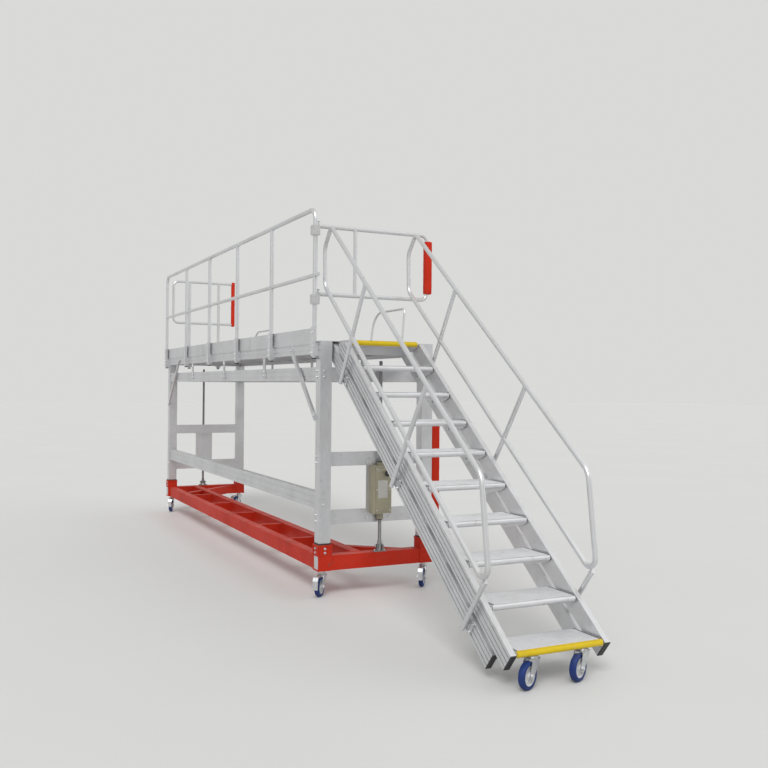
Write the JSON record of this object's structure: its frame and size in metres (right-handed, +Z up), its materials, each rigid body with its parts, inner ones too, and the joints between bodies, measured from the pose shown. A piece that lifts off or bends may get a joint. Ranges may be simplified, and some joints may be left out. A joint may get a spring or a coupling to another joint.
{
  "type": "mobile aircraft stairs and platform",
  "caption": "Height-adjustable aircraft access platform on castors, with self-levelling stairs, a swing gate, guard rails and screw jacks.",
  "frame": {"origin": "on the floor under the middle of the outline", "axes": "+Y along the deck away from the stairs, +X towards the open side of the deck, +Z up"},
  "size_m": [1.2054, 8.1703, 3.1841],
  "materials": {
    "base_steel": "satin paint, scuffed",
    "zinc_steel": "zinc plated",
    "dark_steel": "oiled screw",
    "aluminium": "mill finish, worn",
    "deck_tread_plate": "chequer plate",
    "gearbox_paint": "satin paint",
    "red_pad": "matt foam rubber",
    "yellow_nosing": "satin, scuffed",
    "black_cap": "matt",
    "blue_wheel": "blue elastic tyre on a pale hub"
  },
  "bodies": {
    "base": {"base_side_beams": "base_steel", "base_end_beams": "base_steel", "base_rungs": "base_steel", "base_braces": "base_steel", "base_sockets": "base_steel", "masts": "zinc_steel", "jack_screws": "dark_steel"},
    "platform": {"posts": "aluminium", "side_rails": "aluminium", "cross_rails": "aluminium", "deck_edges": "aluminium", "deck_joists": "aluminium", "deck_plate": "deck_tread_plate", "landing": "aluminium", "landing_nosing": "yellow_nosing", "toe_boards": "aluminium", "guard_uprights": "aluminium", "guard_rails": "aluminium", "far_guard_loop": "aluminium", "bumper_pads": "red_pad", "deck_hoops": "aluminium", "gearboxes": "gearbox_paint", "gearbox_plates": "aluminium", "knee_braces": "aluminium", "hangers": "aluminium", "gate_clamps": "zinc_steel"},
    "gate": {"gate_frame": "aluminium", "gate_pad": "red_pad"},
    "upper_rails": {"upper_stringers": "aluminium", "upper_caps": "black_cap"},
    "lower_rails": {"lower_stringers": "aluminium", "lower_caps": "black_cap", "handrails": "aluminium", "handrail_struts": "aluminium"},
    "step_1": {"tread_1": "aluminium", "first_nosing": "yellow_nosing"},
    "step_2": {"tread_2": "aluminium"},
    "step_3": {"tread_3": "aluminium"},
    "step_4": {"tread_4": "aluminium"},
    "step_5": {"tread_5": "aluminium"},
    "step_6": {"tread_6": "aluminium"},
    "step_7": {"tread_7": "aluminium"},
    "step_8": {"tread_8": "aluminium"},
    "step_9": {"tread_9": "aluminium"},
    "castor_near_left": {"fork_near_left": "zinc_steel"},
    "roller_near_left": {"wheel_near_left": "blue_wheel"},
    "castor_near_right": {"fork_near_right": "zinc_steel"},
    "roller_near_right": {"wheel_near_right": "blue_wheel"},
    "castor_far_left": {"fork_far_left": "zinc_steel"},
    "roller_far_left": {"wheel_far_left": "blue_wheel"},
    "castor_far_right": {"fork_far_right": "zinc_steel"},
    "roller_far_right": {"wheel_far_right": "blue_wheel"},
    "castor_stair_left": {"fork_stair_left": "zinc_steel"},
    "roller_stair_left": {"wheel_stair_left": "blue_wheel"},
    "castor_stair_right": {"fork_stair_right": "zinc_steel"},
    "roller_stair_right": {"wheel_stair_right": "blue_wheel"}
  },
  "joints": [
    {"name": "platform_lift", "type": "slide", "parent": "base", "child": "platform", "axis": [0, 0, 1], "range_m": [0, 0.4]},
    {"name": "gate_swing", "type": "hinge", "parent": "platform", "child": "gate", "pos_m": [-0.48929, -1.29284, 2.475], "axis": [0, 0, 1], "range_deg": [0, 85]},
    {"name": "upper_rails_pitch", "type": "hinge", "parent": "platform", "child": "upper_rails", "pos_m": [-0.05729, -1.61384, 2.045], "axis": [1, 0, 0], "range_deg": [0, 10.1]},
    {"name": "lower_rails_pitch", "type": "hinge", "parent": "platform", "child": "lower_rails", "pos_m": [-0.05729, -1.42584, 2], "axis": [1, 0, 0], "range_deg": [0, 10.1]},
    {"name": "step_1_level", "type": "hinge", "parent": "upper_rails", "child": "step_1", "pos_m": [-0.05729, -3.97184, 0.19], "axis": [1, 0, 0], "range_deg": [-10.1, 0]},
    {"name": "step_2_level", "type": "hinge", "parent": "upper_rails", "child": "step_2", "pos_m": [-0.05729, -3.70984, 0.39611], "axis": [1, 0, 0], "range_deg": [-10.1, 0]},
    {"name": "step_3_level", "type": "hinge", "parent": "upper_rails", "child": "step_3", "pos_m": [-0.05729, -3.44784, 0.60222], "axis": [1, 0, 0], "range_deg": [-10.1, 0]},
    {"name": "step_4_level", "type": "hinge", "parent": "upper_rails", "child": "step_4", "pos_m": [-0.05729, -3.18584, 0.80833], "axis": [1, 0, 0], "range_deg": [-10.1, 0]},
    {"name": "step_5_level", "type": "hinge", "parent": "upper_rails", "child": "step_5", "pos_m": [-0.05729, -2.92384, 1.01444], "axis": [1, 0, 0], "range_deg": [-10.1, 0]},
    {"name": "step_6_level", "type": "hinge", "parent": "upper_rails", "child": "step_6", "pos_m": [-0.05729, -2.66184, 1.22056], "axis": [1, 0, 0], "range_deg": [-10.1, 0]},
    {"name": "step_7_level", "type": "hinge", "parent": "upper_rails", "child": "step_7", "pos_m": [-0.05729, -2.39984, 1.42667], "axis": [1, 0, 0], "range_deg": [-10.1, 0]},
    {"name": "step_8_level", "type": "hinge", "parent": "upper_rails", "child": "step_8", "pos_m": [-0.05729, -2.13784, 1.63278], "axis": [1, 0, 0], "range_deg": [-10.1, 0]},
    {"name": "step_9_level", "type": "hinge", "parent": "upper_rails", "child": "step_9", "pos_m": [-0.05729, -1.87584, 1.83889], "axis": [1, 0, 0], "range_deg": [-10.1, 0]},
    {"name": "swivel_near_left", "type": "hinge", "parent": "base", "child": "castor_near_left", "pos_m": [-0.47529, -1.41484, 0.16], "axis": [0, 0, 1], "continuous": true},
    {"name": "spin_near_left", "type": "hinge", "parent": "castor_near_left", "child": "roller_near_left", "pos_m": [-0.51276, -1.45646, 0.08], "axis": [0.7431, -0.6691, 0], "continuous": true},
    {"name": "swivel_near_right", "type": "hinge", "parent": "base", "child": "castor_near_right", "pos_m": [0.46471, -1.41484, 0.16], "axis": [0, 0, 1], "continuous": true},
    {"name": "spin_near_right", "type": "hinge", "parent": "castor_near_right", "child": "roller_near_right", "pos_m": [0.43101, -1.45957, 0.08], "axis": [0.7986, -0.6018, 0], "continuous": true},
    {"name": "swivel_far_left", "type": "hinge", "parent": "base", "child": "castor_far_left", "pos_m": [-0.47529, 3.98516, 0.16], "axis": [0, 0, 1], "continuous": true},
    {"name": "spin_far_left", "type": "hinge", "parent": "castor_far_left", "child": "roller_far_left", "pos_m": [-0.49627, 3.93323, 0.08], "axis": [0.9272, -0.3746, 0], "continuous": true},
    {"name": "swivel_far_right", "type": "hinge", "parent": "base", "child": "castor_far_right", "pos_m": [0.46471, 3.98516, 0.16], "axis": [0, 0, 1], "continuous": true},
    {"name": "spin_far_right", "type": "hinge", "parent": "castor_far_right", "child": "roller_far_right", "pos_m": [0.42058, 3.95068, 0.08], "axis": [0.6157, -0.788, 0], "continuous": true},
    {"name": "swivel_stair_left", "type": "hinge", "parent": "step_1", "child": "castor_stair_left", "pos_m": [-0.23529, -4.01084, 0.16], "axis": [0, 0, 1], "continuous": true},
    {"name": "spin_stair_left", "type": "hinge", "parent": "castor_stair_left", "child": "roller_stair_left", "pos_m": [-0.28604, -4.03451, 0.08], "axis": [0.4226, -0.9063, 0], "continuous": true},
    {"name": "swivel_stair_right", "type": "hinge", "parent": "step_1", "child": "castor_stair_right", "pos_m": [0.12071, -4.01084, 0.16], "axis": [0, 0, 1], "continuous": true},
    {"name": "spin_stair_right", "type": "hinge", "parent": "castor_stair_right", "child": "roller_stair_right", "pos_m": [0.06996, -4.03451, 0.08], "axis": [0.4226, -0.9063, 0], "continuous": true}
  ],
  "couplings": [
    {"joint": "upper_rails_pitch", "follows": "platform_lift", "rad_per_m": 0.44},
    {"joint": "lower_rails_pitch", "follows": "platform_lift", "rad_per_m": 0.44},
    {"joint": "step_1_level", "follows": "platform_lift", "rad_per_m": -0.44},
    {"joint": "step_2_level", "follows": "platform_lift", "rad_per_m": -0.44},
    {"joint": "step_3_level", "follows": "platform_lift", "rad_per_m": -0.44},
    {"joint": "step_4_level", "follows": "platform_lift", "rad_per_m": -0.44},
    {"joint": "step_5_level", "follows": "platform_lift", "rad_per_m": -0.44},
    {"joint": "step_6_level", "follows": "platform_lift", "rad_per_m": -0.44},
    {"joint": "step_7_level", "follows": "platform_lift", "rad_per_m": -0.44},
    {"joint": "step_8_level", "follows": "platform_lift", "rad_per_m": -0.44},
    {"joint": "step_9_level", "follows": "platform_lift", "rad_per_m": -0.44}
  ]
}
